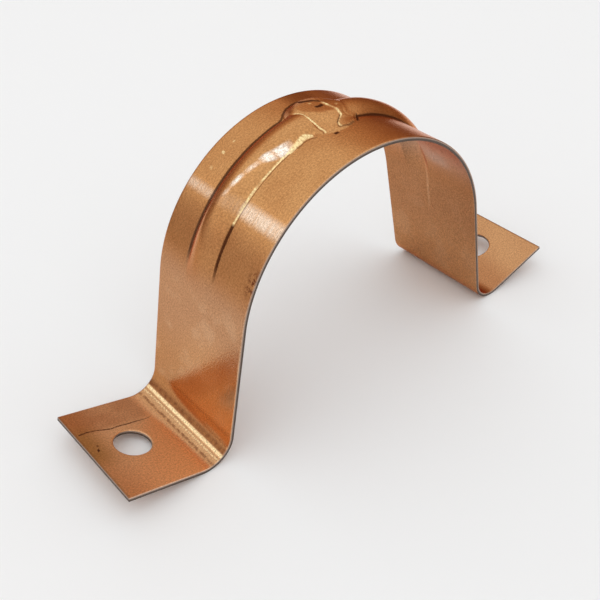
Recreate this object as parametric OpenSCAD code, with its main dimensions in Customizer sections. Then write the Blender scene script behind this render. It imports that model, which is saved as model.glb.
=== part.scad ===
// Two-hole strap that holds a 54 mm copper tube against a wall or a joist.
// It is pressed from one strip of copper-plated steel sheet: the strip runs along X,
// its width lies along Y, and it rests on the two bends above its feet at z = 0.

/* [Tube] */
// Outside diameter of the tube that the strap goes over
tube_d = 54; // [40:0.5:110]
// Play between the tube and the seat, measured on the radius
seat_gap = 0.3; // [0:0.05:1]

/* [Band] */
// Width of the strip
band_w = 23.2; // [19:0.1:50]
// Thickness of the sheet
sheet_t = 0.7; // [0.4:0.05:1.2]

/* [Legs] */
// Angle by which each leg leans outwards from upright
leg_splay = 11; // [0:0.5:20]
// Length of the straight part of a leg
leg_len = 21; // [6:0.5:50]
// Radius of the bend from leg to foot, on its upper face
bend_r = 4.7; // [2:0.1:8]

/* [Feet] */
// Angle by which each foot rises from its bend towards its end
foot_lift = 16.8; // [0:0.1:25]
// Length of the flat part of a foot
foot_len = 14.2; // [12.5:0.1:30]
// Diameter of a screw hole
hole_d = 6.6; // [3:0.1:8]
// Distance from the end of a foot to the centre of its screw hole
hole_inset = 7.8; // [5:0.1:8]

/* [Rib] */
// Width of the rib where it rises from the band
rib_w = 7.1; // [6:0.1:9]
// Height of the rib above the band
rib_h = 1.7; // [1:0.1:2]
// Distance of the rib from the middle of the band, towards the back edge
rib_shift = 1.9; // [-3:0.1:3]
// Angle from the crown of the arch to the start of a run-out
rib_reach = 54; // [30:1:56]
// Angle over which the ridge of a run-out sinks back to the band
rib_runout = 26; // [12:1:28]

/* [Boss] */
// Diameter of the round boss at the crown, where it rises from the band
boss_d = 11.4; // [10:0.1:12]
// Diameter of the boss at its top
boss_top_d = 9.4; // [7:0.1:9.6]
// Height of the boss above the band
boss_h = 1.3; // [0.6:0.1:1.5]

/* [Hidden] */
$fn = 96;

// The arch bends about the axis of the tube, between its seat and its outer face.
seat_r = tube_d / 2 + seat_gap;
band_r = seat_r + sheet_t;

// Directions square to a leg, down that leg, square to a foot and out along that foot.
leg_out = [cos(leg_splay), sin(leg_splay)];
leg_down = [sin(leg_splay), -cos(leg_splay)];
foot_down = [sin(foot_lift), -cos(foot_lift)];
foot_out = [cos(foot_lift), sin(foot_lift)];

// A bend turns about one centre, outside the leg and above the foot.
bend_centre = (band_r + bend_r) * leg_out + leg_len * leg_down;
bend_under_r = bend_r + sheet_t;
axis_h = bend_under_r - bend_centre.y;
floor_depth = axis_h + band_r;

// Straight and round stretches of the sheet overlap by this much where they join.
overlap = 0.0005;

// Centre of a screw hole, on the upper face of the foot
hole_point = bend_centre + bend_r * foot_down + (foot_len - hole_inset) * foot_out;

// The rib's section is an arc through both of its sides and its ridge.
rib_r = (pow(rib_w / 2, 2) + pow(rib_h, 2)) / (2 * rib_h);
ridge_r = band_r + rib_h;

// Over the run-outs the ridge follows a second circle, smaller and with a higher centre.
// It crosses the first where they start, and the face of the band where they end.
runout_end = rib_reach + rib_runout;
sink_rise = (pow(ridge_r, 2) - pow(band_r, 2))
    / (2 * (ridge_r * cos(rib_reach) - band_r * cos(runout_end)));
sink_r = sqrt(pow(ridge_r, 2) + pow(sink_rise, 2) - 2 * ridge_r * sink_rise * cos(rib_reach));

// What rises from the band is rooted inside the sheet. A hollow starts inside the seat.
rib_root_r = seat_r + sheet_t / 2;
boss_root_r = seat_r + sheet_t / 3;
hollow_root_r = seat_r - 1;
sink_root_r = hollow_root_r - sink_rise - 1;

// The boss tapers, and its wall keeps the sheet's thickness square to that taper.
boss_taper = (boss_d - boss_top_d) / 2 / boss_h;
boss_wall = sheet_t * sqrt(1 + pow(boss_taper, 2));
boss_foot = 3;

// Turns a shape made about Z so that it goes about the tube, with X at the crown.
module about_tube() {
    translate([0, 0, axis_h])
        rotate([-90, -90, 0])
            children();
}

// All that lies below one face of the strip, in front view about the tube's axis.
// depth is 0 for the upper face and sheet_t for the lower face.
module below_face(depth, reach) {
    leg_top = (band_r - depth - overlap) * leg_out;
    leg_end = bend_centre - (bend_r + depth) * leg_out;
    foot_start = bend_centre + (bend_r + depth) * foot_down;
    foot_end = foot_start + (foot_len + reach) * foot_out;
    cut_end = foot_end + 2 * sheet_t * foot_down;
    floor_end = [cut_end.x, -floor_depth - reach];
    side = [leg_top, leg_end, bend_centre, foot_start, foot_end, cut_end, floor_end];
    intersection() {
        circle(r = band_r - depth);
        translate([-band_r, leg_top.y - 1])
            square(2 * band_r);
    }
    polygon(concat(side, [for (i = [len(side) - 1:-1:0]) [-side[i].x, side[i].y]]));
}

// The round space above a bend, on both sides
module bend_discs(r) {
    for (side = [-1, 1])
        translate([side * bend_centre.x, bend_centre.y])
            circle(r = r + overlap);
}

// The strip bent over the tube, as plain sheet
module band() {
    translate([0, 0, axis_h])
        rotate([90, 0, 0])
            linear_extrude(height = band_w, center = true)
                difference() {
                    below_face(0, 0);
                    bend_discs(bend_r);
                    difference() {
                        below_face(sheet_t, 2);
                        bend_discs(bend_under_r);
                    }
                }
}

// The rib's section beside the axis it turns about: an arc of radius r, cut off at its root
module rib_section(r, section_ridge_r, section_root_r) {
    intersection() {
        translate([section_ridge_r - r, 0])
            circle(r = r);
        translate([section_root_r, -rib_w])
            square([ridge_r, 2 * rib_w]);
    }
}

// The rib is what two rings share: one follows the arch, and the other sinks at both ends.
// inset draws its face in by that much, for the hollow under the rib.
module rib_form(inset, root_r) {
    r = rib_r - inset;
    about_tube()
        translate([0, 0, rib_shift])
            intersection() {
                rotate_extrude(angle = 2 * runout_end + 4, start = -runout_end - 2)
                    rib_section(r, ridge_r - inset, root_r);
                translate([sink_rise, 0, 0])
                    rotate_extrude(angle = 240, start = -120)
                        rib_section(r, sink_r - inset, sink_root_r);
            }
}

// The boss at the crown: a short cone whose top follows the arch
module boss_form(face_r, base_r) {
    foot_r = base_r + boss_foot * boss_taper;
    top_r = base_r - (boss_h + 1) * boss_taper;
    intersection() {
        translate([0, rib_shift, axis_h + face_r - boss_foot])
            cylinder(r1 = foot_r, r2 = top_r, h = boss_foot + boss_h + 1);
        translate([0, 0, axis_h])
            rotate([90, 0, 0])
                cylinder(r = face_r + boss_h, h = band_w + 1, center = true);
    }
}

module boss() {
    difference() {
        boss_form(band_r, boss_d / 2);
        translate([0, 0, axis_h])
            rotate([90, 0, 0])
                cylinder(r = boss_root_r, h = band_w + 2, center = true);
    }
}

module boss_hollow() {
    boss_form(seat_r, boss_d / 2 + sheet_t * boss_taper - boss_wall);
}

// The screw holes go square through the feet.
module screw_holes() {
    for (side = [-1, 1])
        translate([side * hole_point.x, 0, axis_h + hole_point.y])
            rotate([0, -side * foot_lift, 0])
                cylinder(d = hole_d, h = 4 * sheet_t, center = true);
}

module strap() {
    color([0.78, 0.55, 0.37])
        difference() {
            union() {
                band();
                rib_form(0, rib_root_r);
                boss();
            }
            rib_form(sheet_t, hollow_root_r);
            boss_hollow();
            screw_holes();
        }
}

strap();
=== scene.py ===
import bpy
import numpy as np
from mathutils import Matrix


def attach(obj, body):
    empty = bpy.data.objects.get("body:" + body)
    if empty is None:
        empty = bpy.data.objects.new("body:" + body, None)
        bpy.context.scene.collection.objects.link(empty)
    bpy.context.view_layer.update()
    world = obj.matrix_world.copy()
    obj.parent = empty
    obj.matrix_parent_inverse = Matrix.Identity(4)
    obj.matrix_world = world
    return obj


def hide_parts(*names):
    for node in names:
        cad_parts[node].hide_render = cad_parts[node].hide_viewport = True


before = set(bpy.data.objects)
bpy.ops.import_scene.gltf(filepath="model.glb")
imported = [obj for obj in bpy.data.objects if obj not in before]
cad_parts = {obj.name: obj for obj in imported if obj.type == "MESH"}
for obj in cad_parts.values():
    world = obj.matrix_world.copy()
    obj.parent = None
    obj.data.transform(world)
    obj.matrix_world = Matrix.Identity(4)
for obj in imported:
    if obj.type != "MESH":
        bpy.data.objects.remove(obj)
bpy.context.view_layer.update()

# THE BENT STRIP. One length of soft steel sheet, copper-plated on both faces, which a press
# bends to an arch, two splayed legs and two feet that rise outwards. A place on it is s mm
# along its outer face from the crown, and v mm across it from its front edge.
sheet = 0.7
strip_width = 23.2
half_width = strip_width / 2
arch_r = 28.0
axis_height = 19.7748
leg_angle = np.radians(79)
leg_len = 21.0
bend_r = 4.7
foot_lift = np.radians(16.8)
foot_len = 14.2
leg_start = arch_r * leg_angle
bend_start = leg_start + leg_len
foot_start = bend_start + bend_r * (leg_angle + foot_lift)
strip_half = foot_start + foot_len


def outer_face(s):
    """x and z of the outer face, s mm from the crown, and x and z of the way that it faces."""
    run = np.abs(s)
    on_arch = np.clip(run, 0, leg_start) / arch_r
    on_leg = np.clip(run - leg_start, 0, leg_len)
    in_bend = np.clip(run - bend_start, 0, foot_start - bend_start) / bend_r
    on_foot = np.clip(run - foot_start, 0, None)
    heading = in_bend - on_arch
    x = arch_r * np.sin(on_arch) + on_leg * np.cos(leg_angle) + on_foot * np.cos(heading)
    x += bend_r * (np.sin(leg_angle) + np.sin(heading)) * (in_bend > 0)
    z = axis_height + arch_r * np.cos(on_arch) - on_leg * np.sin(leg_angle)
    z += bend_r * (np.cos(leg_angle) - np.cos(heading)) * (in_bend > 0) + on_foot * np.sin(heading)
    side = np.where(s < 0, -1.0, 1.0)
    return side * x, z, side * -np.sin(heading), np.cos(heading)


# THE RIB AND THE BOSS. The press also raises a rib along the arch, to stiffen it, and a round
# boss at the crown, which the rib runs up to from both sides. The rib's section is an arc that
# sinks back into the sheet near the legs, and it lies a little askew.
rib_half = 3.475
rib_height = 1.7
rib_round = (rib_half ** 2 + rib_height ** 2) / (2 * rib_height)
rib_line = 13.3
rib_skew = 0.026
rib_askew_to = 38
rib_sinks = (25, 39.1)
root_round = 0.012
root_nip = (0.03, 0.3)
boss_place = (0.3, 13.5)
boss_height = 1.3
boss_top_r = 4.2
boss_foot_r = 6.0
boss_lean = 3.4
boss_root_round = (0.15, 0.35)
lip_width = 0.14
near_lip = 0.09
far_lip = 0.03

# The two creases across the crown, between which the rib is pressed flat, as (s, v).
near_crease_line = np.array([
    (-2.6, 8.7), (-2.6, 10.0), (-2.55, 11.6), (-2.5, 13.0), (-2.6, 14.0), (-3.1, 15.6)])
far_crease_line = np.array([
    (0.4, 8.4), (0.4, 9.0), (0.9, 9.5), (1.6, 10.0), (2.3, 10.6), (2.35, 11.7), (2.2, 13.0),
    (2.1, 14.0), (2.1, 15.2)])


def step(x, low, high):
    """0 below low and 1 above high, with a smooth rise between them."""
    t = np.clip((x - low) / (high - low), 0, 1)
    return t * t * (3 - 2 * t)


def hump(x, width):
    """1 where x is 0, with a smooth fall on both sides."""
    return np.exp(-(x / width) ** 2)


def rib_middle(s):
    return rib_line + rib_skew * np.clip(s, -rib_askew_to, rib_askew_to)


def raised(s, v, inset):
    """How far a face is raised, in mm. inset is 0 for the outer face and sheet for the inner."""
    w = v - rib_middle(s)
    arc_r = rib_round - inset
    arc = np.sqrt(np.clip(arc_r ** 2 - w ** 2, 0, None)) - arc_r + rib_height
    arc = np.where(np.abs(w) < arc_r, arc, -2.0)
    arc = (arc + np.sqrt(arc ** 2 + root_round)) / 2
    arc -= root_nip[0] * hump(np.abs(w) - rib_half, root_nip[1])
    arc *= 1 - step(np.abs(s), *rib_sinks)

    # between the creases there is no rib, and beyond the far one it rises again slowly
    past_near = s - np.interp(v, near_crease_line[:, 1], near_crease_line[:, 0])
    past_far = s - np.interp(v, far_crease_line[:, 1], far_crease_line[:, 0])
    arc *= 1 - step(past_near, -0.7, 0.0) * (1 - step(past_far, -0.3, 0.3))
    arc *= 1 - 0.24 * step(s, 0, 1) * (1 - step(past_far, 0, 9))

    # the boss slopes more gently towards the front edge
    out = np.hypot(s - boss_place[0], v - boss_place[1])
    towards_front = -(0.5 * (s - boss_place[0]) + 0.87 * (v - boss_place[1]))
    towards_front = step(towards_front / np.maximum(out, 0.1), -0.7, 0.9)
    slope_start = boss_top_r - boss_lean * towards_front
    boss = boss_height * (1 - step(out + 0.5 * inset, slope_start, boss_foot_r))
    form = np.maximum(arc, boss)
    form += boss_root_round[0] * hump(arc - boss, boss_root_round[1]) * (boss > 0.02)

    # a thin lip stands along each crease, on the outer face alone
    lips = near_lip * hump(past_near, lip_width) + far_lip * hump(past_far, lip_width)
    return form + lips * (1 - step(out, 4.4, 5.0)) * (inset == 0)


# THE CUT EDGES. The strip is sheared from wide plated sheet, so steel shows along its edges:
# the blade first rolls the plated face over, then cuts a bright land, then tears the rest.
# edge_roll is (in from the edge, down), edge_wall is (down from the outer face, in).
edge_roll = np.array([(0.0, 0.10), (0.04, 0.045), (0.11, 0.012), (0.25, 0.0)])
edge_wall = np.array([
    (0.10, 0.0), (0.16, -0.012), (0.34, -0.012), (0.42, 0.015), (0.60, 0.03), (0.70, 0.0)])
torn_from = 0.35


def torn_waver(s, v):
    """How far the torn part of the wall strays in and out, in mm."""
    return 0.012 * np.sin(s * 2.1 + v * 1.7) + 0.008 * np.sin(s * 5.3 - v * 4.1)


# THE SCREW HOLES. One is punched square through each foot, from above, and the punch draws the
# plated face a little way in over the rim. hole_rings is the share of the way left to the rim
# from a square patch round the hole, and how far the face is drawn down there.
hole_r = 3.3
hole_inset = 7.8
hole_at = strip_half - hole_inset
hole_patch = 4.8
hole_rings = ((0.75, 0), (0.5, 0), (0.3, 0), (0.15, 0), (0.06, 0.012), (0.02, 0.05), (0, 0.1))

# THE STRAP IN ONE PIECE. All these forms are in the one sheet, so they are put on one closed
# mesh, with rows of points along s and columns along v. They lie close together where the
# creases, the roots of the rib and the bends are.
rows_one_side = np.concatenate([
    np.arange(0, 4.4, 0.1),
    np.arange(4.4, 7.6, 0.2),
    np.arange(7.6, 40, 0.4),
    np.arange(40, bend_start, 1.5),
    np.arange(bend_start, foot_start, 0.25),
    np.linspace(foot_start, hole_at - hole_patch, 3),
    np.linspace(hole_at - hole_patch, hole_at + hole_patch, 17)[1:],
    np.linspace(hole_at + hole_patch, strip_half - edge_roll[-1, 0], 5)[1:],
    strip_half - edge_roll[::-1, 0][1:]])
rows_one_side = np.unique(np.round(rows_one_side, 4))
rows = np.concatenate([-rows_one_side[:0:-1], rows_one_side])
columns = np.concatenate([
    edge_roll[:, 0],
    np.arange(0.5, half_width - hole_patch, 0.35),
    [half_width - hole_patch],
    np.arange(7.1, 9.3, 0.3),
    np.arange(9.3, 10.9, 0.1),
    np.arange(10.9, 16.0, 0.25),
    [half_width + hole_patch],
    np.arange(16.2, 18.1, 0.1),
    np.arange(18.1, strip_width - 0.35, 0.35),
    strip_width - edge_roll[::-1, 0]])
columns = np.unique(np.round(columns, 4))


def build_strap():
    """The strap's points in mm, their (s, v, depth), its faces, and 1 for each face of bare steel."""
    # the columns lean with the rib, and straighten on the legs
    s, v = np.meshgrid(rows, columns, indexing="ij")
    lean = (rib_middle(s) - rib_line) * (1 - step(np.abs(s), 40, 55))
    v = v + lean * np.interp(v, [0, 7, 11, 16, 19, strip_width], [0, 0.9, 1, 1, 0.9, 0])

    # the plated outer and inner faces, without a square patch round each screw hole
    x, z, nx, nz = outer_face(s)
    from_edge = np.minimum(np.minimum(v, strip_width - v), strip_half - np.abs(s))
    drop = np.interp(from_edge, edge_roll[:, 0], edge_roll[:, 1])
    points, places = [], []
    for up, depth in ((raised(s, v, 0) - drop, 0.0), (raised(s, v, sheet) - sheet, sheet)):
        points.append(np.stack([x + nx * up, v - half_width, z + nz * up], -1).reshape(-1, 3))
        places.append(np.stack([s, v, np.full_like(s, depth)], -1).reshape(-1, 3))
    count = s.size
    size = 2 * count
    ids = np.arange(count).reshape(s.shape)
    mid_row = (np.abs(rows[1:]) + np.abs(rows[:-1])) / 2
    mid_column = (columns[1:] + columns[:-1]) / 2
    by_hole = (np.abs(mid_row - hole_at) < hole_patch)[:, None]
    in_patch = by_hole & (np.abs(mid_column - half_width) < hole_patch)[None, :]
    quads = np.stack([ids[:-1, :-1], ids[1:, :-1], ids[1:, 1:], ids[:-1, 1:]], -1)[~in_patch]
    faces = [tuple(quad) for quad in quads.tolist()]
    faces += [tuple(quad[::-1]) for quad in (quads + count).tolist()]
    steel_faces = [0] * len(faces)

    def add_points(new_points, new_places):
        """Adds points and gives back their numbers."""
        nonlocal size
        points.append(np.asarray(new_points).reshape(-1, 3))
        places.append(np.asarray(new_places).reshape(-1, 3))
        size += len(points[-1])
        return np.arange(size - len(points[-1]), size)

    def add_band(upper, lower, is_steel):
        """Adds a closed band of faces between two rings of points."""
        for a in range(len(upper)):
            b = (a + 1) % len(upper)
            faces.append((upper[a], lower[a], lower[b], upper[b]))
            steel_faces.append(is_steel)

    # the walls of the cut edges, all the way round
    rim = np.concatenate([ids[:, 0], ids[-1, 1:], ids[-2::-1, -1], ids[0, -2:0:-1]])
    rim_s, rim_v = s.reshape(-1)[rim], v.reshape(-1)[rim]
    out_s = np.where(np.abs(rim_s) > strip_half - 1e-6, np.sign(rim_s), 0.0)
    out_v = np.where(rim_v < 1e-6, -1.0, np.where(rim_v > strip_width - 1e-6, 1.0, 0.0))
    x, z, nx, nz = outer_face(rim_s)
    upper = rim
    for depth, inward in edge_wall[1:-1]:
        back = inward + torn_waver(rim_s, rim_v) * (depth > torn_from)
        wall_x = x - nx * depth - out_s * nz * back
        wall_z = z - nz * depth + out_s * nx * back
        wall_y = rim_v - half_width - out_v * back
        lower = add_points(np.stack([wall_x, wall_y, wall_z], -1),
                           np.stack([rim_s, rim_v, np.full_like(rim_s, depth)], -1))
        add_band(upper, lower, 1)
        upper = lower
    add_band(upper, rim + count, 1)

    # round each screw hole, rings from the square patch to the rim, then the punched wall
    across_patch = np.where(np.abs(columns - half_width) < hole_patch + 1e-3)[0]
    for side in (-1, 1):
        along_patch = np.where(np.abs(side * rows - hole_at) < hole_patch + 1e-3)[0]
        patch = ids[np.ix_(along_patch, across_patch)]
        square = np.concatenate([patch[:-1, 0], patch[-1, :-1], patch[:0:-1, -1], patch[0, :0:-1]])
        ds = s.reshape(-1)[square] - side * hole_at
        dv = v.reshape(-1)[square] - half_width
        angle = np.arctan2(dv, ds)
        rims = []
        for depth, is_inner in ((0.0, 0), (sheet, 1)):
            ring = square + count * is_inner
            for share, drawn in hole_rings:
                r = hole_r + share * (np.hypot(ds, dv) - hole_r)
                ring_s = side * hole_at + r * np.cos(angle)
                ring_v = half_width + r * np.sin(angle)
                x, z, nx, nz = outer_face(ring_s)
                down = depth + drawn * (1 - is_inner)
                inner_ring = add_points(
                    np.stack([x - nx * down, ring_v - half_width, z - nz * down], -1),
                    np.stack([ring_s, ring_v, np.full_like(ring_s, depth)], -1))
                add_band(*((ring, inner_ring) if is_inner else (inner_ring, ring)), 0)
                ring = inner_ring
            rims.append(ring)
        add_band(rims[1], rims[0], 1)
    return np.concatenate(points), np.concatenate(places), faces, steel_faces


strap_points, strap_places, strap_faces, steel_faces = build_strap()
strap_mesh = bpy.data.meshes.new("pressed_strap")
strap_mesh.from_pydata((strap_points * 0.001).tolist(), [], strap_faces)
strap_mesh.validate()
strap_mesh.polygons.foreach_set("material_index", steel_faces)
strap_mesh.polygons.foreach_set("use_smooth", [True] * len(strap_mesh.polygons))
strap_mesh.set_sharp_from_angle(angle=np.radians(38))
place_list = strap_mesh.attributes.new("place", "FLOAT_VECTOR", "POINT")
place_list.data.foreach_set("vector", strap_places.astype(np.float32).ravel())
strap = bpy.data.objects.new("pressed_strap", strap_mesh)
bpy.context.scene.collection.objects.link(strap)
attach(strap, "root")
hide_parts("strap")


# THE COPPER PLATING. A thin bright copper coat over the steel, rolled with the sheet. It is
# semi-bright with a fine grain, darker where dirt and oxide sit in the pressed creases, and duller
# on the near foot. Its colour also holds painted light: painted highlights on the crest, along the
# rib, the bend and the edges, painted reflections on the legs, a painted sheen on the rib's back
# slope, and painted shade in the creases, on the arch, on the crown's back and on its far side.
class Wire:
    """A socket of a material's nodes that can stand in a sum."""

    def __init__(self, tree, socket=None):
        self.tree, self.socket = tree, socket

    def add(self, kind, settings, sockets, out=0):
        """Adds a node: its settings first, then its sockets' values or wires. Gives one output."""
        node = self.tree.nodes.new("ShaderNode" + kind)
        for name, value in settings.items():
            if name == "curve":
                curve = node.mapping.curves[0]
                for at, (x, y) in enumerate(value):
                    spot = curve.points[at] if at < 2 else curve.points.new(x, y)
                    spot.location, spot.handle_type = (x, y), "VECTOR"
                node.mapping.update()
            else:
                setattr(node, name, value)
        for name, value in sockets.items():
            if isinstance(value, Wire):
                self.tree.links.new(value.socket, node.inputs[name])
            else:
                node.inputs[name].default_value = value
        return Wire(self.tree, node.outputs[out])

    def into(self, shader, name):
        self.tree.links.new(self.socket, shader.inputs[name])

    def math(self, operation, *values):
        return self.add("Math", {"operation": operation}, dict(enumerate(values)))

    def __add__(self, other):
        return self.math("ADD", self, other)

    def __sub__(self, other):
        return self.math("SUBTRACT", self, other)

    def __rsub__(self, other):
        return self.math("SUBTRACT", other, self)

    def __mul__(self, other):
        return self.math("MULTIPLY", self, other)

    def __truediv__(self, other):
        return self.math("DIVIDE", self, other)

    def __abs__(self):
        return self.math("ABSOLUTE", self)

    __radd__ = __add__
    __rmul__ = __mul__

    def over(self, *others):
        """The strongest of several marks."""
        strongest = self
        for other in others:
            strongest = strongest.math("MAXIMUM", strongest, other)
        return strongest

    def ramp(self, low, high, first, last):
        settings = {"interpolation_type": "SMOOTHSTEP"}
        return self.add("MapRange", settings, {0: self, 1: low, 2: high, 3: first, 4: last})

    def rise(self, low, high):
        """0 below low and 1 above high, with a smooth rise between them."""
        return self.ramp(low, high, 0.0, 1.0)

    def fall(self, low, high):
        """1 below low and 0 above high, with a smooth fall between them."""
        return self.ramp(low, high, 1.0, 0.0)

    def near(self, middle, low, high):
        """1 up to low away from middle, on either side, and 0 from high away."""
        return abs(self - middle).fall(low, high)

    def blend(self, first, second):
        """A colour between two, first where this is 0 and second where it is 1."""
        return self.add("Mix", {"data_type": "RGBA"}, {0: self, 6: first, 7: second}, 2)

    def vector(self, operation, other):
        return self.add("VectorMath", {"operation": operation}, {0: self, 1: other})

    def noise(self, scale, detail, roughness, out=0):
        sockets = {"Vector": self, "Scale": scale, "Detail": detail, "Roughness": roughness}
        return self.add("TexNoise", {}, sockets, out)

    def part(self, axis):
        return self.add("SeparateXYZ", {}, {0: self}, axis)


def tone(red, green, blue):
    """A colour as it is seen, in 0 to 255, for a socket."""
    level = np.array([red, green, blue]) / 255
    level = np.where(level < 0.04045, level / 12.92, ((level + 0.055) / 1.055) ** 2.4)
    return (*level.tolist(), 1.0)


def finish_for(name):
    """A new material, its Principled node, and a wire to start from."""
    material = bpy.data.materials.new(name)
    material.use_nodes = True
    nodes = material.node_tree.nodes
    return material, nodes["Principled BSDF"], Wire(material.node_tree)


plating, plating_coat, wire = finish_for("copper_plating")
place = wire.add("Attribute", {"attribute_name": "place"}, {}, 1)
s, v, depth = place.part("X"), place.part("Y"), place.part("Z")
run = abs(s)
on_inside = depth.rise(0.3, 0.4)
on_outside = 1 - on_inside

# the plating's own grain, its cloudy patches, and its streaks along the rolled sheet
grain = place.noise(2.6, 3.0, 0.6)
fine = place.noise(3.8, 1.0, 0.5)
cloud = place.noise(0.16, 4.0, 0.55)
spots = place.noise(1.3, 3.0, 0.65)
streak = place.vector("MULTIPLY", (0.25, 3.0, 1.0)).noise(1.0, 3.0, 0.6)

# marks waver by a tenth of a millimetre or so, as on a real pressing
waver = place.noise(0.9, 2.0, 0.5, 1).vector("SUBTRACT", (0.5, 0.5, 0.5))
waver_place = place.vector("ADD", waver.vector("MULTIPLY", (0.3, 0.3, 0.0)))
waver_s, waver_v = waver_place.part("X"), waver_place.part("Y")


def line_mark(spots_on_line, width, soft=0.15, across=False):
    """1 along a line through these (s, v) on the outer face, and 0 away from it.

    Its s rises from spot to spot, or its v where across is True.
    """
    line_spots = np.array(spots_on_line)[:, ::-1] if across else np.array(spots_on_line)
    a, b = (waver_v, waver_s) if across else (waver_s, waver_v)
    (a_low, b_low), (a_high, b_high) = line_spots.min(0), line_spots.max(0)
    a_span, b_span = a_high - a_low, max(b_high - b_low, 0.2)
    curve = [((a_at - a_low) / a_span, (b_at - b_low) / b_span) for a_at, b_at in line_spots]
    line = a.add("FloatCurve", {"curve": curve}, {"Value": (a - a_low) / a_span})
    steep = float(np.abs(np.diff(line_spots[:, 1])).sum() / a_span)
    away = abs(b - b_low - line * b_span) / np.hypot(1, steep)
    ends = a.near((a_low + a_high) / 2, a_span / 2, a_span / 2 + soft)
    return away.fall(width / 2, width / 2 + soft) * ends * on_outside


# the clean plating, with a slow drift
colour = cloud.rise(0.3, 0.7).blend(tone(192, 136, 84), tone(203, 149, 95))
colour = (0.3 * grain.rise(0.35, 0.75)).blend(colour, tone(206, 154, 102))

# painted reflections on the legs: a pale haze where they mirror the pale floor, and brighter
# orange towards the front of the lower legs where they mirror the feet. The legs also have pale
# clouds, and a painted shade makes the near side of the arch browner round where the rib's end sinks
# in
leg_floor_reflection = 0.75 * run.rise(31, 37) * (1 - 0.5 * run.rise(44, 56))
leg_foot_reflection = 0.65 * run.rise(40, 52) * run.fall(61.5, 62.5) * v.fall(6, 20)
leg_clouds = 0.25 * run.rise(33, 42) * run.fall(58, 62) * cloud.rise(0.5, 0.62)
arch_side_shade = 0.4 * s.near(-30, 2, 9)

# a painted sheen: the rib's back slope is paler, out to the back of the boss
boss_side = 2.2 * run.fall(3.0, 4.6)
back_slope_sheen = (v - rib_line - rib_skew * s - boss_side).rise(0.8, 2.4) * run.fall(28, 36)
back_slope_sheen = 0.75 * back_slope_sheen * (v - boss_side).fall(16.2, 16.8) * on_outside

# the inner face is browner, greyer under the arch, with a rubbed patch and a pale streak
inner_face = (0.75 - 0.3 * run.rise(40, 54)) * on_inside
inner_arch = 0.8 * run.fall(22, 36) * on_inside
inner_patch = 0.5 * s.near(28.8, 0.5, 3.5) * v.near(7.5, 1.0, 4.0) * on_inside
inner_streak = 0.5 * v.near(11.85, 0.1, 0.4) * s.rise(32, 34) * s.fall(41, 46) * on_inside

# the near foot is redder, more so behind its scratch, and greenish at its end
near_foot = s.fall(-67.5, -65.5) * on_outside
foot_red = 0.85 * near_foot
behind_scratch = near_foot * v.rise(16.2, 17.6) * (0.5 + 0.5 * cloud.rise(0.35, 0.6))
behind_scratch = 0.75 * behind_scratch * (1 - 0.3 * s.rise(-74, -67))
foot_front = 0.6 * near_foot * s.fall(-83, -74)
foot_end = 0.6 * s.fall(-81.0, -76.0) * v.near(13.5, 2.0, 7.0) * on_outside
foot_root = 0.5 * s.near(-66.9, 0.2, 1.3) * on_outside

for mark, shade in (
        (leg_floor_reflection, tone(190, 146, 113)), (leg_foot_reflection, tone(224, 172, 122)),
        (leg_clouds, tone(226, 188, 152)), (arch_side_shade, tone(150, 84, 48)),
        (back_slope_sheen, tone(222, 180, 144)), (inner_face, tone(172, 118, 78)),
        (inner_arch, tone(200, 178, 164)), (inner_patch, tone(186, 174, 164)),
        (inner_streak, tone(214, 168, 128)), (foot_red, tone(222, 174, 130)),
        (behind_scratch, tone(176, 118, 78)), (foot_front, tone(166, 92, 30)),
        (foot_end, tone(142, 100, 38)), (foot_root, tone(226, 170, 122))):
    colour = mark.blend(colour, shade)

# dark lines sit along both roots of the rib, dirt in the crease with painted shade of the
# valley. Over one stretch the front root has a painted highlight instead, with a dark line only just
# outside it.
on_front = (v - rib_line).fall(-0.1, 0.1)
on_back = 1 - on_front
from_middle = abs(v - (rib_line + rib_skew * s))
from_root = from_middle - rib_half + (0.2 * (streak - 0.5) + 0.16 * (grain - 0.5))
along_rib = run.fall(31, 35) * run.rise(4.9, 5.4) * on_outside
lit_stretch = on_front * s.rise(-24.4, -23.6) * s.fall(-9.0, -6.5)
root = (from_root - 0.25 * on_back).near(0, 0.14 + 0.02 * on_back, 0.34 + 0.18 * on_back)
dark_root = root * along_rib * (0.95 - 0.05 * on_back) * (1 - lit_stretch)
dark_root = dark_root * (1 - on_front * s.rise(-9.0, -6.5) * s.fall(0.0, 4.0))
under_lit = 0.5 * from_root.near(0.24, 0.02, 0.2) * lit_stretch * on_outside
lit_root = from_root.near(-0.05, 0.04, 0.2) * lit_stretch * on_outside
lit_root = lit_root * (0.4 + 0.6 * streak.rise(0.35, 0.5))
lit_root = lit_root * (0.25 + 0.75 * abs(s + 16.5).rise(0.3, 1.1))

# dark lines where the boss and its creases were pressed. The one along the back foot of the
# boss is dirt in the crease with painted shade, as along the roots of the rib
boss_edge = 0.85 * line_mark([
    (-8.2, 16.9), (-5.3, 17.0), (-4.7, 17.25), (-3.9, 17.95), (-3.0, 18.65), (-1.9, 19.2),
    (-0.6, 19.65), (0.8, 19.85), (3.0, 19.4)], 0.25, 0.3)
far_hook = line_mark([(4.4, 8.8), (5.5, 10.0)], 0.25, 0.25)
inner_hook = line_mark([(-0.7, 17.5), (0.4, 17.0), (1.3, 16.55), (2.1, 15.8)], 0.2, 0.4)
under_crease = 0.75 * line_mark([(0.0, 8.5), (0.5, 9.3), (1.2, 9.85), (2.1, 10.55)], 0.06)
below_boss = 0.6 * line_mark([(0.0, 8.3), (1.2, 8.05), (2.2, 8.1), (3.5, 8.6)], 0.1, 0.3)
root_shade = 0.5 * line_mark([(-8.0, 9.15), (-6.6, 9.45), (-5.7, 9.4), (-4.6, 8.95)], 0.02, 0.3)
nicks = line_mark([(0.4, 14.35), (0.9, 14.2), (1.6, 14.4)], 0.35, 0.35)
nicks = nicks.over(line_mark([(-1.7, 7.35), (-1.2, 7.3)], 0.3, 0.3))

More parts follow.
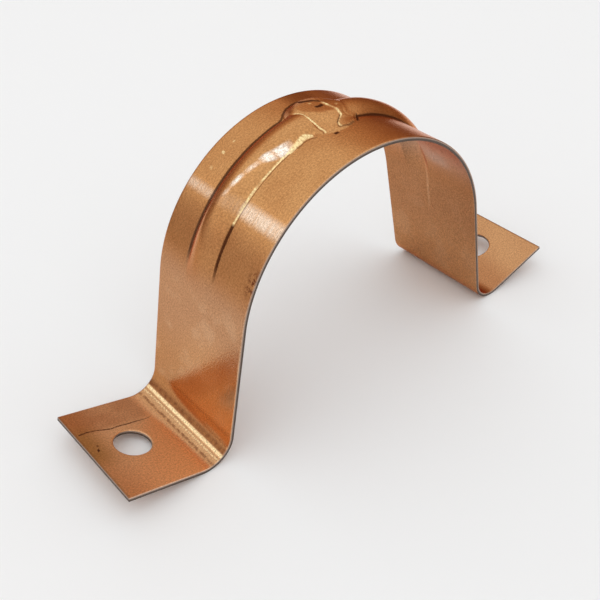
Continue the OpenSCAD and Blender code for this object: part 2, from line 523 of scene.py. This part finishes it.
# a scratch across the near foot, and two specks in front of it
scratch = line_mark([
    (-81.0, 17.1), (-79.5, 17.3), (-77.5, 17.0), (-76.2, 16.6), (-75.3, 16.4), (-74.0, 16.5),
    (-72.0, 16.4), (-70.0, 16.35), (-67.3, 16.4)], 0.08, 0.2)
scratch = scratch * (0.5 + 0.5 * grain.rise(0.4, 0.55)) * (1 - 0.5 * s.rise(-72, -67))
specks = line_mark([(-80.15, 12.2), (-79.9, 12.35)], 0.25, 0.25)
specks = specks.over(0.6 * line_mark([(-79.7, 13.3), (-79.5, 13.4)], 0.2, 0.25))
dark = dark_root.over(boss_edge, far_hook, inner_hook, under_crease, below_boss, root_shade,
                      nicks, scratch, specks, under_lit)

# painted highlights where the sharp edges of the creases across the crown and of the front root
# of the rib catch the light, and a painted shade beside the near crease
near_crease = line_mark(near_crease_line, 0.1, 0.18, across=True) * (1 - 0.5 * v.rise(13.2, 14.6))
near_crease_shade = line_mark(near_crease_line[:4] - (0.34, 0), 0.04, 0.18, across=True)
far_crease = line_mark(far_crease_line + (0.12, 0), 0.1, 0.25, across=True)
far_crease = far_crease * (1 - 0.6 * v.near(9.7, 0.3, 0.8)) * (1 - 0.9 * v.near(12.8, 0.6, 1.1))
root_glint_paint = line_mark([(-9.5, 9.5), (-7.6, 9.75), (-6.4, 10.0), (-5.6, 10.0), (-4.6, 9.6)], 0.3, 0.3)
bright_bits = line_mark([(3.4, 13.1), (3.7, 13.3)], 0.25, 0.25).over(
    line_mark([(0.2, 16.0), (0.5, 16.0)], 0.2, 0.25),
    line_mark([(-15.3, 20.3), (-15.1, 20.35)], 0.35, 0.25),
    0.6 * line_mark([(-12.7, 20.35), (-12.5, 20.35)], 0.1, 0.25),
    0.3 * line_mark([(-18.5, 20.3), (-18.2, 20.4)], 0.2, 0.3))
lit = lit_root.over(near_crease, far_crease, root_glint_paint, bright_bits)
lit = lit * (0.45 + 0.5 * grain.rise(0.3, 0.6))

# painted highlights, pale in the plating's colour: in a band across the arch, in a broken
# streak along the rib, and along the bend
to_back = v.rise(8, 18)
on_rib_top = from_middle.fall(rib_half - 0.4, rib_half)
band_highlight_paint = (s + 0.8 * to_back + 0.6 * (grain - 0.5)).near(
    -21.15, 0.4 - 0.3 * to_back, 2.0 - 0.6 * to_back)
band_highlight_paint = band_highlight_paint * (1 - 0.8 * on_rib_top) * (0.55 + 0.45 * streak.rise(0.35, 0.6))
band_highlight_paint = (0.7 - 0.2 * to_back) * band_highlight_paint * on_outside
rib_highlight_paint = line_mark([(-21.5, 12.95), (-17.5, 12.25), (-13.0, 11.15), (-10.8, 10.4), (-8.0, 10.0)],
                     0.2 + 0.8 * s.rise(-15.0, -12.0), 0.5)
blobs = [(0, 0), (0.08, 0.4), (0.14, 0.1), (0.23, 0.95), (0.29, 0.9), (0.35, 0.1), (0.46, 0.55),
         (0.56, 0.1), (0.64, 1), (0.69, 0.9), (0.73, 0.3), (0.78, 1), (0.87, 1), (0.92, 0.4), (1, 0)]
rib_highlight_paint = rib_highlight_paint * s.add("FloatCurve", {"curve": blobs}, {"Value": (s + 21.4) / 13.6})
rib_highlight_paint = 0.9 * rib_highlight_paint * (0.6 + 0.4 * grain.rise(0.35, 0.6))
bend_highlight_paint = (s.near(-63.4, 0.15, 0.45) * (0.5 + 0.5 * grain.rise(0.3, 0.5))).over(
    0.8 * s.near(-64.25, 0.04, 0.3) * grain.rise(0.35, 0.6), 0.1 * s.near(-64.0, 0.9, 1.3))
bend_highlight_paint = 0.8 * bend_highlight_paint * on_outside

# dirt in the near bend, a browner far bend, painted shade on the back of the crown and on the far
# side past the boss, and brown cut ends
near_bend = 0.6 * s.rise(-63.1, -62.9) * s.fall(-60.6, -58.8) * on_outside
far_bend = 0.5 * s.near(67.0, 2.0, 8.0) * on_outside
crown_back_shade = 0.6 * s.near(2.5, 1.0, 4.5) * v.rise(19.3, 20.4) * on_outside
far_crown_shade = 0.3 * s.near(10.5, 1.5, 4.5) * on_outside
cut_ends = 0.6 * (strip_half - run).fall(0.05, 0.5) * on_outside

# stains: small spots near the front edge, a dirty band above the bend and dashes below it
edge_stain = s.near(-30.0, 0.8, 3.2) * v.fall(0.9, 2.4) * spots.rise(0.47, 0.56) * on_outside
bend_dirt = s.rise(-63.1, -62.9) * s.fall(-62.3, -61.6) * (0.5 + 0.5 * spots.rise(0.45, 0.62))
dashes = (0.7 * s.near(-63.95, 0.05, 0.25) * grain.rise(0.4, 0.6)).over(
    (s + 0.5 * (grain - 0.5)).near(-65.3, 0.1, 0.35))
stain = edge_stain.over(0.8 * bend_dirt * on_outside,
                        0.7 * dashes * spots.rise(0.4, 0.55) * on_outside,
                        0.5 * spots.rise(0.69, 0.76))
# a painted highlight along the rolled long edges, the strongest on the near foot
edge_highlight_paint = (v * (strip_width - v) / strip_width).fall(0.03, 0.2) * (0.2 + 0.3 * near_foot)

for mark, shade in (
        (band_highlight_paint, tone(240, 222, 202)), (rib_highlight_paint, tone(255, 250, 240)),
        (bend_highlight_paint, tone(246, 220, 172)), (near_bend, tone(186, 120, 65)),
        (far_bend, tone(160, 98, 60)), (crown_back_shade, tone(112, 60, 34)),
        (far_crown_shade, tone(126, 76, 48)), (cut_ends, tone(112, 66, 38)),
        (stain, tone(112, 62, 36)), (0.6 * near_crease_shade, tone(120, 70, 36)),
        (edge_highlight_paint, tone(232, 212, 196)), (dark, tone(70, 32, 13)), (lit, tone(255, 228, 170))):
    colour = mark.blend(colour, shade)
grainy = 0.76 + 0.28 * fine.rise(0.3, 0.7) + 0.2 * grain.rise(0.35, 0.65)
colour = colour.add("VectorMath", {"operation": "SCALE"}, {0: colour, "Scale": grainy})
colour.into(plating_coat, "Base Color")

dullness = 0.13 + 0.06 * cloud + 0.05 * streak + 0.25 * dark + 0.12 * stain
(dullness + 0.1 * on_inside + 0.14 * near_foot).into(plating_coat, "Roughness")
(0.95 - 0.15 * near_foot - 0.1 * stain - 0.1 * dark).into(plating_coat, "Metallic")
relief = 0.5 * grain + 0.12 * fine + 0.25 * streak
pressed = wire.add("Bump", {}, {"Strength": 0.6, "Distance": 0.00006, "Height": relief})
pressed.into(plating_coat, "Normal")
plating_coat.inputs["Specular Tint"].default_value = tone(255, 207, 186)
strap_mesh.materials.append(plating)

# THE BARE STEEL. The sheet's own soft steel shows on every cut wall, with no plating: a pale
# land with a warm smear of copper where the blade cut, and a darker torn band below it.
steel, steel_coat, wire = finish_for("cut_steel_edge")
place = wire.add("Attribute", {"attribute_name": "place"}, {}, 1)
tear = place.noise(3.0, 3.0, 0.6)
torn = (place.part("Z") + 0.18 * tear).rise(0.34, 0.44)
torn.blend(tone(170, 148, 134), tone(98, 86, 78)).into(steel_coat, "Base Color")
tear_relief = wire.add("Bump", {}, {"Strength": 0.5, "Distance": 0.0001, "Height": tear})
tear_relief.into(steel_coat, "Normal")
steel_coat.inputs["Metallic"].default_value = 1.0
steel_coat.inputs["Roughness"].default_value = 0.42
strap_mesh.materials.append(steel)

# THE TABLE. A plain pale surface, which rises in a soft sweep far out, so that no view shows
# where it ends.
table_turns = 96
turns = np.linspace(0, 2 * np.pi, table_turns + 1)[:-1]
table_r = np.concatenate([[0.001], np.arange(1.0, 6.1, 0.25)])
table_z = 0.09 * np.clip(table_r - 1, 0, None) ** 2


def ring_faces(low_ring):
    """The faces between one ring of points and the next."""
    low, high = low_ring * table_turns, (low_ring + 1) * table_turns
    steps = [(k, (k + 1) % table_turns) for k in range(table_turns)]
    return [(low + a, high + a, high + b, low + b) for a, b in steps]


table_mesh = bpy.data.meshes.new("table")
table_mesh.from_pydata(
    [(r * np.cos(a), r * np.sin(a), z) for r, z in zip(table_r, table_z) for a in turns], [],
    sum([ring_faces(ring) for ring in range(len(table_r) - 1)], []) + [tuple(range(table_turns))])
table_mesh.polygons.foreach_set("use_smooth", [True] * len(table_mesh.polygons))
table = bpy.data.objects.new("table", table_mesh)
bpy.context.scene.collection.objects.link(table)
paper, paper_coat, _ = finish_for("pale_paper")
paper_coat.inputs["Base Color"].default_value = tone(242, 242, 242)
paper_coat.inputs["Roughness"].default_value = 0.9
paper_coat.inputs["Specular IOR Level"].default_value = 0.1
table_mesh.materials.append(paper)

# THE LIGHT. A pale room all round, with a low brown card that stands round the table to give
# the metal a darker horizon, and a long tube lamp overhead, which runs from behind the strap
# on the left to in front of it, and shows as a streak along the rib.
room = bpy.data.worlds.new("pale_room")
room.use_nodes = True
room.node_tree.nodes["Background"].inputs["Color"].default_value = (1.0, 1.0, 1.0, 1)
room.node_tree.nodes["Background"].inputs["Strength"].default_value = 1.0
bpy.context.scene.world = room

card_r, card_height = 0.32, 0.4
card_mesh = bpy.data.meshes.new("horizon_card")
card_mesh.from_pydata(
    [(card_r * np.cos(a), card_r * np.sin(a), z) for z in (0.0, card_height) for a in turns], [],
    [face[::-1] for face in ring_faces(0)])
card = bpy.data.objects.new("horizon_card", card_mesh)
bpy.context.scene.collection.objects.link(card)
for sight in ("camera", "diffuse", "shadow"):
    setattr(card, "visible_" + sight, False)
brown, _, wire = finish_for("horizon_card")
spot = wire.add("NewGeometry", {}, {}, 0)
high = spot.part("Z")
across_room = (spot.part("X") * 0.74 + spot.part("Y") * 0.67) * (1 / card_r)
card_top = 0.2 + 0.2 * across_room.rise(-0.1, 0.7)
cover = across_room.rise(-0.5, 0.6) * (high / card_top).fall(0.45, 1.0)
glow_tone = high.rise(0.05, 0.24).blend((0.28, 0.15, 0.09, 1.0), (0.62, 0.43, 0.32, 1.0))
glow = wire.add("Emission", {}, {"Color": glow_tone, "Strength": 1.0})
clear = wire.add("BsdfTransparent", {}, {})
card_finish = wire.add("MixShader", {}, {0: cover, 1: clear, 2: glow})
card_finish.into(brown.node_tree.nodes["Material Output"], "Surface")
card_mesh.materials.append(brown)


def set_in(thing, x_way, y_way, z_way, middle):
    """Stands an object at middle, with its own axes turned these ways."""
    columns_of_matrix = np.stack([x_way, y_way, z_way, middle], -1)
    thing.matrix_world = Matrix([*columns_of_matrix.tolist(), [0, 0, 0, 1]])
    bpy.context.scene.collection.objects.link(thing)


lamp_height = 0.6
lamp_from = np.array([-1.24, 1.66, 1.0]) * lamp_height
lamp_to = np.array([0.28, -0.87, 1.0]) * lamp_height
lamp_len = np.linalg.norm(lamp_to - lamp_from)
lamp_data = bpy.data.lights.new("tube_lamp", "AREA")
lamp_data.shape = "RECTANGLE"
lamp_data.size = float(lamp_len)
lamp_data.size_y = 0.04
lamp_data.energy = 0.2
along = (lamp_to - lamp_from) / lamp_len
upwards = np.array([0.0, 0.0, 1.0])
set_in(bpy.data.objects.new("tube_lamp", lamp_data),
       along, np.cross(upwards, along), upwards, (lamp_from + lamp_to) / 2)

# THE CAMERA. It stands in front of the near foot, about 160 mm from the strap and higher than
# its crown, and looks down along it.
camera_at = np.array([-85.5684, -95.7959, 113.6145]) * 0.001
looks = np.array([0.49780622, 0.60047883, -0.62579082])
right = np.array([0.76161593, -0.64783653, -0.01577998])
focal_pixels = 872.13
camera_data = bpy.data.cameras.new("photo_camera")
camera_data.sensor_width = 36.0
camera_data.lens = focal_pixels * camera_data.sensor_width / 600
camera_data.clip_start = 0.005
camera = bpy.data.objects.new("photo_camera", camera_data)
set_in(camera, right, np.cross(right, looks), -looks, camera_at)
bpy.context.scene.camera = camera
bpy.context.scene.view_settings.view_transform = "Standard"
